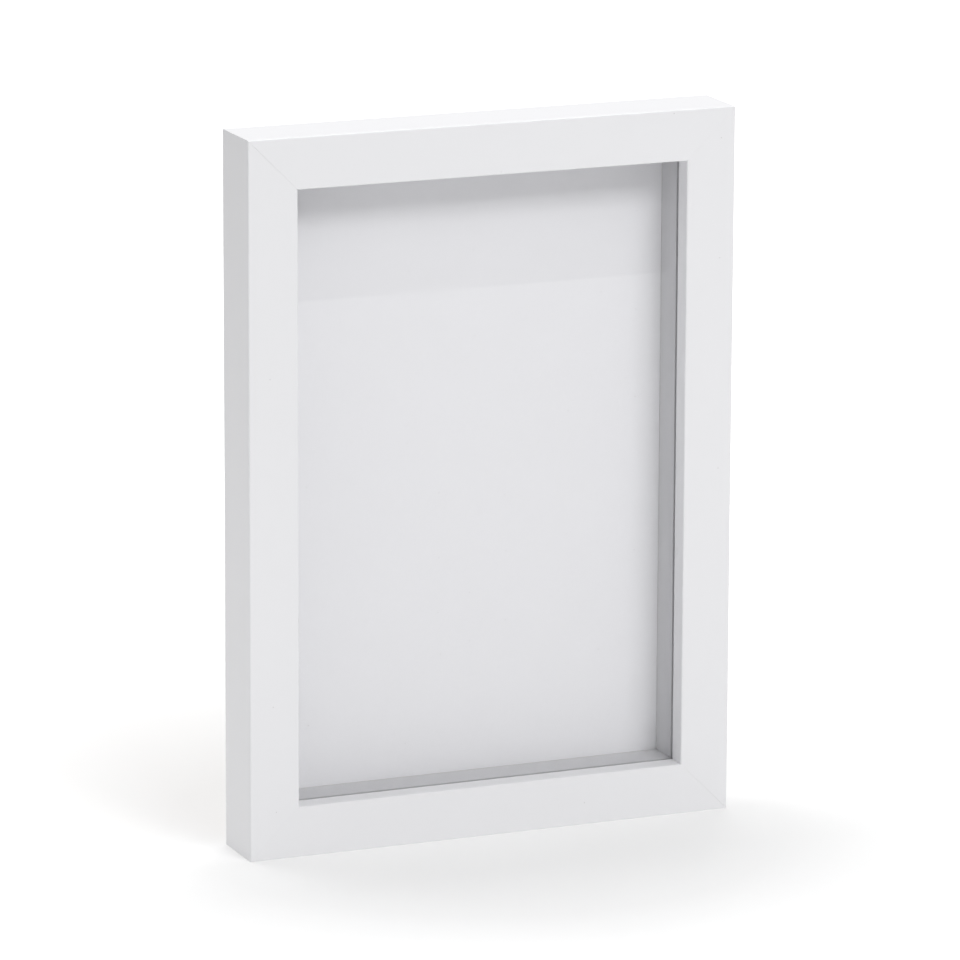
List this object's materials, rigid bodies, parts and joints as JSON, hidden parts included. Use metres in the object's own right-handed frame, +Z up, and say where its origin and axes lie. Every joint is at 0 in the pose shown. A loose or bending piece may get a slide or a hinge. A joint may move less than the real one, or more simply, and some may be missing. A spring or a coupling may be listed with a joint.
{
  "type": "shadow box",
  "caption": "White shadow box: deep mitred frame with set-back glass, inner spacers, display card and a lift-out back held by turn buttons, with hanger rings.",
  "frame": {"origin": "centre of the wooden frame's footprint, on the surface it stands on", "axes": "+X to the right seen from the front, +Y from the glass towards the wall, +Z up with the frame upright"},
  "size_m": [0.25, 0.0372, 0.35],
  "materials": {
    "white_rail": "satin white foil over fibreboard",
    "white_spacer": "satin white foil over fibreboard",
    "white_card": "matt white card",
    "glass": "polished float glass",
    "hardboard": "raw hardboard",
    "zinc_steel": "bright zinc plated",
    "nail_steel": "bare spring steel",
    "bumper_rubber": "matt"
  },
  "bodies": {
    "frame": {"top_rail": "white_rail", "bottom_rail": "white_rail", "left_rail": "white_rail", "right_rail": "white_rail", "corner_v_nails": "nail_steel", "glass_pane": "glass", "top_spacer": "white_spacer", "bottom_spacer": "white_spacer", "left_spacer": "white_spacer", "right_spacer": "white_spacer", "turn_button_screws": "zinc_steel", "wall_bumpers": "bumper_rubber"},
    "back_panel": {"backboard": "hardboard", "display_card": "white_card", "portrait_hanger_strap": "zinc_steel", "landscape_hanger_strap": "zinc_steel", "hanger_rivets": "zinc_steel"},
    "portrait_ring": {"portrait_hanger_ring": "zinc_steel"},
    "landscape_ring": {"landscape_hanger_ring": "zinc_steel"},
    "turn_button_top_left": {"turn_button_top_left": "zinc_steel"},
    "turn_button_top_right": {"turn_button_top_right": "zinc_steel"},
    "turn_button_right_upper": {"turn_button_right_upper": "zinc_steel"},
    "turn_button_right_lower": {"turn_button_right_lower": "zinc_steel"},
    "turn_button_bottom_right": {"turn_button_bottom_right": "zinc_steel"},
    "turn_button_bottom_left": {"turn_button_bottom_left": "zinc_steel"},
    "turn_button_left_lower": {"turn_button_left_lower": "zinc_steel"},
    "turn_button_left_upper": {"turn_button_left_upper": "zinc_steel"}
  },
  "joints": [
    {"name": "backboard_slide", "type": "slide", "parent": "frame", "child": "back_panel", "axis": [0, 1, 0], "range_m": [0, 0.06]},
    {"name": "turn_top_left_swivel", "type": "hinge", "parent": "frame", "child": "turn_button_top_left", "pos_m": [-0.055, 0.01765, 0.338], "axis": [0, -1, 0], "range_deg": [-90, 0]},
    {"name": "turn_top_right_swivel", "type": "hinge", "parent": "frame", "child": "turn_button_top_right", "pos_m": [0.055, 0.01765, 0.338], "axis": [0, 1, 0], "range_deg": [-90, 0]},
    {"name": "turn_right_upper_swivel", "type": "hinge", "parent": "frame", "child": "turn_button_right_upper", "pos_m": [0.113, 0.01765, 0.26], "axis": [0, -1, 0], "range_deg": [-90, 0]},
    {"name": "turn_right_lower_swivel", "type": "hinge", "parent": "frame", "child": "turn_button_right_lower", "pos_m": [0.113, 0.01765, 0.09], "axis": [0, 1, 0], "range_deg": [-90, 0]},
    {"name": "turn_bottom_right_swivel", "type": "hinge", "parent": "frame", "child": "turn_button_bottom_right", "pos_m": [0.055, 0.01765, 0.012], "axis": [0, -1, 0], "range_deg": [-90, 0]},
    {"name": "turn_bottom_left_swivel", "type": "hinge", "parent": "frame", "child": "turn_button_bottom_left", "pos_m": [-0.055, 0.01765, 0.012], "axis": [0, 1, 0], "range_deg": [-90, 0]},
    {"name": "turn_left_lower_swivel", "type": "hinge", "parent": "frame", "child": "turn_button_left_lower", "pos_m": [-0.113, 0.01765, 0.09], "axis": [0, -1, 0], "range_deg": [-90, 0]},
    {"name": "turn_left_upper_swivel", "type": "hinge", "parent": "frame", "child": "turn_button_left_upper", "pos_m": [-0.113, 0.01765, 0.26], "axis": [0, 1, 0], "range_deg": [-90, 0]},
    {"name": "portrait_ring_swing", "type": "hinge", "parent": "back_panel", "child": "portrait_ring", "pos_m": [0, 0.01855, 0.312], "axis": [1, 0, 0], "range_deg": [-2, 182]},
    {"name": "landscape_ring_swing", "type": "hinge", "parent": "back_panel", "child": "landscape_ring", "pos_m": [0.087, 0.01855, 0.175], "axis": [0, 0, -1], "range_deg": [-2, 182]}
  ]
}
